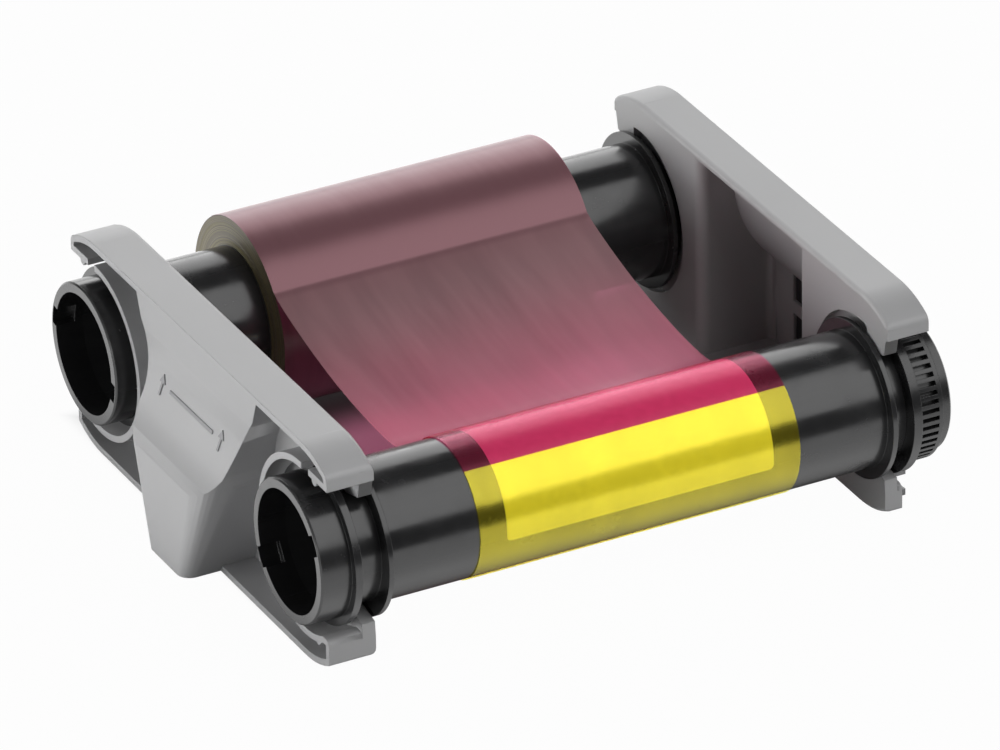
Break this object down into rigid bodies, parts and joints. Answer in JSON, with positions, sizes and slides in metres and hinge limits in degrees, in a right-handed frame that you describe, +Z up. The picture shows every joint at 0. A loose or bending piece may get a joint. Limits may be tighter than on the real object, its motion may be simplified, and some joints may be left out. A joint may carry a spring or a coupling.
{
  "type": "card printer ribbon cassette",
  "caption": "Colour ribbon cassette for an ID card printer: moulded side flasks with finger grips carry a supply spool and a take-up spool, with slack dye film hanging between them.",
  "frame": {"origin": "Centre of the bounding box on its base, on the level of the lower rails' faces, midway between the two flasks.", "axes": "+X along the spools, from their open end tubes to their slotted drive hubs; +Y from the take-up spool to the supply spool; +Z up, from the lower rails to the upper rails."},
  "size_m": [0.1272, 0.1084, 0.0404],
  "materials": {
    "flask": "light grey moulded plastic, fine satin",
    "core": "near black moulded plastic, smooth",
    "film_roll": "wound dye film, satin, dark rose with layered ends",
    "magenta_film": "thin film with a magenta dye panel, smooth and clear",
    "yellow_film": "thin film with a yellow dye panel, smooth and clear",
    "label": "white coated label",
    "tape": "thin clear adhesive tape over the black core",
    "tag": "black card"
  },
  "bodies": {
    "frame": {"left_flask": "flask", "right_flask": "flask", "film_span": "magenta_film", "identity_tag": "tag"},
    "supply_spool": {"supply_core": "core", "supply_drive_hub": "core", "supply_roll": "film_roll", "supply_leader": "tape"},
    "take_up_spool": {"take_up_core": "core", "take_up_drive_hub": "core", "take_up_label": "label", "take_up_magenta_wrap": "magenta_film", "take_up_yellow_wrap": "yellow_film"}
  },
  "joints": [
    {"name": "supply_spin", "type": "hinge", "parent": "frame", "child": "supply_spool", "pos_m": [0, 0.03685, 0.0202], "axis": [1, 0, 0], "continuous": true},
    {"name": "take_up_spin", "type": "hinge", "parent": "frame", "child": "take_up_spool", "pos_m": [0, -0.04015, 0.0202], "axis": [1, 0, 0], "continuous": true}
  ],
  "couplings": [
    {"joint": "take_up_spin", "follows": "supply_spin", "ratio": 1.4157}
  ]
}
